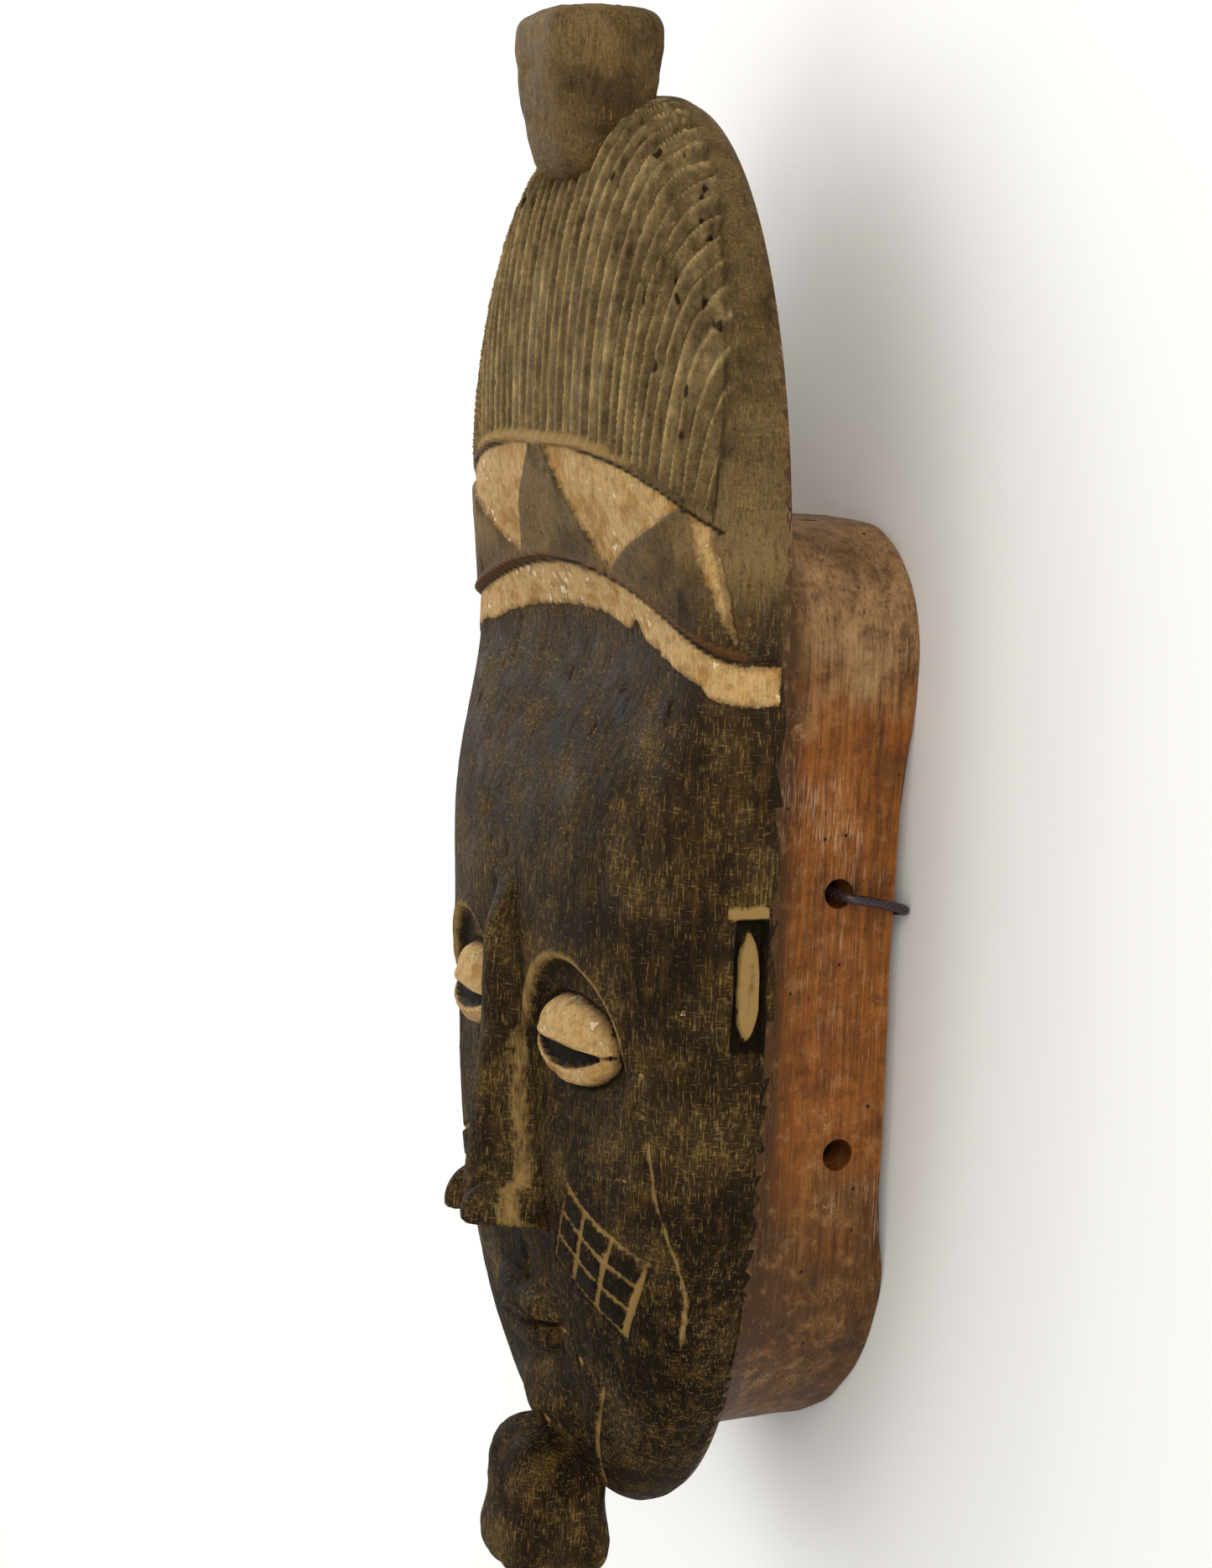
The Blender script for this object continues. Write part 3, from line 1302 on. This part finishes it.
    def inner_block(self) -> bpy.types.Object:
        """Models what is cut out inside the collar, with gouge marks on its walls."""
        levels = np.concatenate([[-6.0], np.linspace(-1.0, self.form.flange_z - 1, 15)])
        block = self.loft("inner_block", self.wall, levels, 260)
        points = points_of(block)
        marks = 0.5 * noise(points, (9, 7, 16), 61) + 0.2 * noise(points, (3, 3, 5), 62)
        middle = np.array([0.0, (self.collar_top + self.collar_bottom) / 2])
        away = points[:, :2] - middle
        away /= np.maximum(np.linalg.norm(away, axis=1, keepdims=True), 1e-6)
        points[:, :2] += away * marks[:, None]
        set_points(block, points)
        paint(block, {})
        return block

    def face_hollow(self) -> bpy.types.Object:
        """Models the scooped hollow above the collar, behind the face."""
        top, bottom, depth = 32.0, -140.0, 18.0
        deselect_all()
        bpy.ops.mesh.primitive_uv_sphere_add(segments=120, ring_count=80, radius=1)
        scoop = added("face_hollow")
        unit = points_of(scoop) * MM
        across = self.bottom_half_width - self.wall - 1
        y = (top + bottom) / 2 + unit[:, 1] * (top - bottom) / 2
        gouges = noise(np.column_stack([unit[:, 0] * across, y, unit[:, 2] * depth]), (9, 12, 9), 63)
        z = self.form.flange_z - 1.5 + np.where(unit[:, 2] > 0, depth + 0.7 * gouges, 4.0) * unit[:, 2]
        set_points(scoop, np.column_stack([unit[:, 0] * across, y, z]))
        paint(scoop, {})
        return scoop

    def hole_cutters(self) -> list[bpy.types.Object]:
        """Models the drills for the four side holes and the two top holes."""
        cutters = []
        for side in (-1, 1):
            for y, z, radius in self.side_holes:
                place = (side * self.bottom_half_width * MM, y * MM, z * MM)
                cutters.append(self.drill(place, radius, (0, math.pi / 2, 0)))
            x, z, radius = self.top_hole
            place = (side * x * MM, self.collar_top * MM, z * MM)
            cutters.append(self.drill(place, radius, (math.pi / 2, 0, 0)))
        return cutters

    def drill(self, place: tuple[float, float, float], radius: float, turn: tuple[float, float, float]
              ) -> bpy.types.Object:
        """Models one drill, a little ragged.

        Args:
            place: Its middle, in metres.
            radius: Its radius in millimetres.
            turn: Its rotation.

        Returns:
            A closed mesh.
        """
        deselect_all()
        bpy.ops.mesh.primitive_cylinder_add(vertices=40, radius=radius * MM, depth=40 * MM, location=place,
                                            rotation=turn)
        cutter = added("drill")
        points = points_of(cutter)
        centre = np.array(place) / MM
        points += (points - centre) * (0.05 * noise(points, (3, 3, 3), 71))[:, None]
        set_points(cutter, points)
        paint(cutter, {})
        return cutter

    def dress(self, body: bpy.types.Object) -> None:
        """Gives the head, the collar's outside and the hollow their finishes by place.

        Args:
            body: The finished solid.
        """
        body.data.materials.clear()
        for finish in (StainedHardwood(), HandledWood(), GougedWood()):
            body.data.materials.append(finish.material())
        stained, handled, gouged = range(3)
        centre, normal = np.zeros((2, len(body.data.polygons) * 3), np.float32)
        body.data.polygons.foreach_get("center", centre)
        body.data.polygons.foreach_get("normal", normal)
        x, y, z = (centre.reshape(-1, 3) / MM).T
        facing = normal.reshape(-1, 3)[:, 2]
        slack = 1.2
        top, bottom = self.collar_top - self.wall, self.collar_bottom + self.wall
        half = self.bottom_half_width - self.wall + 3
        middle_y = np.clip(y, bottom + half, top - 20)
        inside = (np.hypot(x, np.minimum(y - middle_y, 0)) < half + slack) & (y < top + slack)
        hollow = inside & (facing < 0.35) & (z > 0.3) & (z < 61)
        behind_flange = (facing < -0.8) & (z > 36)
        slot = np.where(z < self.form.flange_z - slack, handled, stained)
        slot = np.where(behind_flange, stained, slot)
        slot = np.where(hollow, gouged, slot)
        body.data.polygons.foreach_set("material_index", slot.astype(np.int32))
        body.data.update()


# ---------------------------------------------------------------- the cord


@dataclass
class HangingCord:
    """A braided cord knotted behind both upper side holes, running under the rim and across the back."""

    diameter: float = 2.5
    left_half: tuple[tuple[float, float, float], ...] = (
        (52.4, -7.5, 18.3),
        (58.0, -7.5, 18.4),
        (65.6, -7.6, 18.9),
        (69.8, -8.2, 16.7),
        (70.6, -9.4, 10.6),
        (70.7, -10.9, 4.3),
        (69.4, -12.0, 1.45),
        (64.0, -12.9, 1.35),
        (56.0, -14.4, 1.35),
        (46.0, -18.0, 1.35),
        (32.0, -23.5, 1.35),
        (16.0, -28.0, 1.35),
        (0.0, -29.6, 1.35),
    )
    exit_at: tuple[float, float, float] = (68.0, -7.5, 18.6)
    steps: int = 560
    braid_pitch: float = 3.4
    braid_relief: float = 0.10
    knot_radius: float = 2.6
    # A direction that the cord never runs in, from which the turn of its strands is measured
    never_along: tuple[float, float, float] = (0.0, 0.57, 0.82)

    @staticmethod
    def between(start: np.ndarray, end: np.ndarray, low: float, high: float, time: np.ndarray) -> np.ndarray:
        """Mixes two points by where each time lies between low and high."""
        return (high - time) / (high - low) * start + (time - low) / (high - low) * end

    def route(self) -> np.ndarray:
        """The cord's centreline, a smooth curve through its points, in millimetres."""
        left = np.array(self.left_half)
        right = left[:-1][::-1] * np.array([-1, 1, 1])
        knots = np.concatenate([left, right])
        padded = np.concatenate([[2 * knots[0] - knots[1]], knots, [2 * knots[-1] - knots[-2]]])
        fine = []
        for a, b, c, d in zip(padded, padded[1:], padded[2:], padded[3:]):
            t0, t1, t2, t3 = running([np.linalg.norm(q - p) ** 0.5 for p, q in ((a, b), (b, c), (c, d))])
            time = np.linspace(t1, t2, 24, endpoint=False)[:, None]
            bc = self.between(b, c, t1, t2, time)
            early = self.between(self.between(a, b, t0, t1, time), bc, t0, t2, time)
            late = self.between(bc, self.between(c, d, t2, t3, time), t1, t3, time)
            fine.append(self.between(early, late, t1, t2, time))
        return evenly(np.concatenate(fine + [knots[-1:]]), self.steps)

    def tube(self, name: str, line: np.ndarray, radius: float) -> bpy.types.Object:
        """Models a braided tube along a line.

        Args:
            name: The piece's name.
            line: Its centreline in millimetres.
            radius: Its radius.

        Returns:
            A closed mesh whose strands stand proud of their gaps.
        """
        curve = bpy.data.curves.new(name, "CURVE")
        curve.dimensions = "3D"
        spline = curve.splines.new("POLY")
        spline.points.add(len(line) - 1)
        spline.points.foreach_set("co", np.column_stack([line * MM, np.ones(len(line))]).ravel())
        curve.bevel_depth = radius * MM
        curve.bevel_resolution = 6
        curve.use_fill_caps = True
        obj = bpy.data.objects.new(name, curve)
        bpy.context.scene.collection.objects.link(obj)
        make_active(obj)
        bpy.ops.object.convert(target="MESH")
        obj = bpy.context.object
        points = points_of(obj)
        nearest = np.empty(len(points), int)
        at_once = 2000
        for start in range(0, len(points), at_once):
            some = slice(start, start + at_once)
            nearest[some] = np.linalg.norm(points[some, None] - line[None], axis=2).argmin(axis=1)
        away = points - line[nearest]
        tangent = np.gradient(line, axis=0)[nearest]
        tangent /= np.linalg.norm(tangent, axis=1, keepdims=True)
        side = np.cross(tangent, np.array(self.never_along))
        side /= np.maximum(np.linalg.norm(side, axis=1, keepdims=True), 1e-6)
        other = np.cross(tangent, side)
        turn = np.arctan2((away * other).sum(axis=1), (away * side).sum(axis=1))
        along = length_along(line)[nearest] / self.braid_pitch * 2 * math.pi
        braid = np.abs(np.sin(2 * turn + along)) * np.abs(np.sin(2 * turn - along))
        on_side = np.linalg.norm(away, axis=1) > radius * 0.5
        scale = 1 + np.where(on_side, self.braid_relief * (braid - 0.75), 0)
        set_points(obj, line[nearest] + away * scale[:, None])
        paint(obj, {Paint.CREST: braid * 2 - 1})
        return obj

    def knot(self, name: str, side: int) -> bpy.types.Object:
        """Models an overhand stopper knot behind one hole.

        Args:
            name: The piece's name.
            side: 1 for the mask's left, -1 for its right.

        Returns:
            The knot's mesh object.
        """
        t = np.linspace(0, 2 * math.pi, 170)
        size = self.knot_radius / 3
        loops = np.column_stack([np.sin(3 * t) * size * 0.9, (np.sin(t) + 2 * np.sin(2 * t)) * size,
                                 (np.cos(t) - 2 * np.cos(2 * t)) * size])
        x, y, z = self.left_half[0]
        return self.tube(name, loops + np.array([side * (x - 0.4), y, z]), self.diameter * 0.42)

    def build(self) -> bpy.types.Object:
        """Returns:
            The cord's mesh object.
        """
        line = self.route()
        cord = self.tube("hanging_cord_braid", line, self.diameter / 2)
        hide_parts("hanging_cord")
        knots = [self.knot("cord_knot_left", 1), self.knot("cord_knot_right", -1)]
        material = BraidedPolyester().material()
        for piece in (cord, *knots):
            piece.data.materials.clear()
            piece.data.materials.append(material)
            finish_piece(piece, 70)
        return cord


# ---------------------------------------------------------------- the studio


@dataclass
class Studio:
    """White paper, soft boxes and the camera."""

    turn_deg: float = 66.0
    height_deg: float = 9.5
    roll_deg: float = 1.6
    distance: float = 0.70
    aim: tuple[float, float, float] = (0.0, 0.0, 0.045)
    lens: float = 62.89
    shift: tuple[float, float] = (-0.0112, 0.0241)
    floor_half: float = 4.0
    # Each soft box's name, place and side in metres, power in watts and colour
    boxes: tuple[tuple[str, tuple[float, float, float], float, float, str], ...] = (
        ("key_box", (1.15, 0.75, 0.5), 0.7, 7.0, "#fffaf2"),
        ("side_box", (1.25, -0.55, 0.4), 0.9, 4.0, "#fff8ef"),
        ("top_box", (-0.7, 0.1, 1.5), 1.6, 6.0, "#ffffff"),
        ("back_box", (-1.5, 0.5, 0.7), 1.2, 18.0, "#ffffff"),
    )
    surround: str = "#f7f7f5"
    surround_strength: float = 0.72

    def camera(self) -> bpy.types.Object:
        """Sets up the camera beside the mask's left cheek, its top up in the picture.

        Returns:
            The camera.
        """
        turn, height, roll = (math.radians(v) for v in (self.turn_deg, self.height_deg, self.roll_deg))
        level = math.cos(height)
        back = Vector((level * math.sin(turn), math.sin(height), level * math.cos(turn)))
        right = Vector((0, 1, 0)).cross(back).normalized()
        up = back.cross(right)
        across = math.cos(roll) * right + math.sin(roll) * up
        above = math.cos(roll) * up - math.sin(roll) * right
        deselect_all()
        bpy.ops.object.camera_add()
        camera = bpy.context.object
        camera.name = "camera"
        facing = Matrix((across, above, back)).transposed().to_4x4()
        camera.matrix_world = Matrix.Translation(Vector(self.aim) + self.distance * back) @ facing
        camera.data.lens = self.lens
        camera.data.sensor_width = 36
        camera.data.shift_x, camera.data.shift_y = self.shift
        camera.data.clip_start, camera.data.clip_end = 0.01, 50
        bpy.context.scene.camera = camera
        return camera

    def floor(self) -> bpy.types.Object:
        """Lays the paper."""
        deselect_all()
        bpy.ops.mesh.primitive_plane_add(size=2 * self.floor_half)
        floor = added("studio_floor")
        floor.data.materials.append(StudioPaper().material())
        return floor

    def soft_box(self, name: str, place: tuple[float, float, float], size: float, power: float,
                 colour: str) -> None:
        """Hangs a square soft box that looks at the mask.

        Args:
            name: Its name.
            place: Where it hangs, in metres.
            size: Its side, in metres.
            power: Its power in watts.
            colour: Its sRGB colour.
        """
        bpy.ops.object.light_add(type="AREA", location=place)
        lamp = bpy.context.object
        lamp.name = name
        lamp.data.size = size
        lamp.data.energy = power
        lamp.data.color = linear(colour)[:3]
        lamp.rotation_mode = "QUATERNION"
        lamp.rotation_quaternion = (Vector(place) - Vector(self.aim)).to_track_quat("Z", "Y")

    def lights(self) -> None:
        """Hangs the soft boxes and sets the pale surround."""
        for box in self.boxes:
            self.soft_box(*box)
        world = bpy.data.worlds.new("studio_surround")
        world.use_nodes = True
        bpy.context.scene.world = world
        background = world.node_tree.nodes["Background"]
        surround = {"Color": linear(self.surround), "Strength": self.surround_strength}
        plug(world.node_tree, background, surround)
        bpy.context.scene.view_settings.view_transform = "Standard"


def main() -> None:
    """Builds the studio, the cord and the mask in order."""
    studio = Studio()
    studio.camera()
    HangingCord().build()
    studio.floor()
    studio.lights()
    CarvedBody().build()


if __name__ == "__main__":
    main()
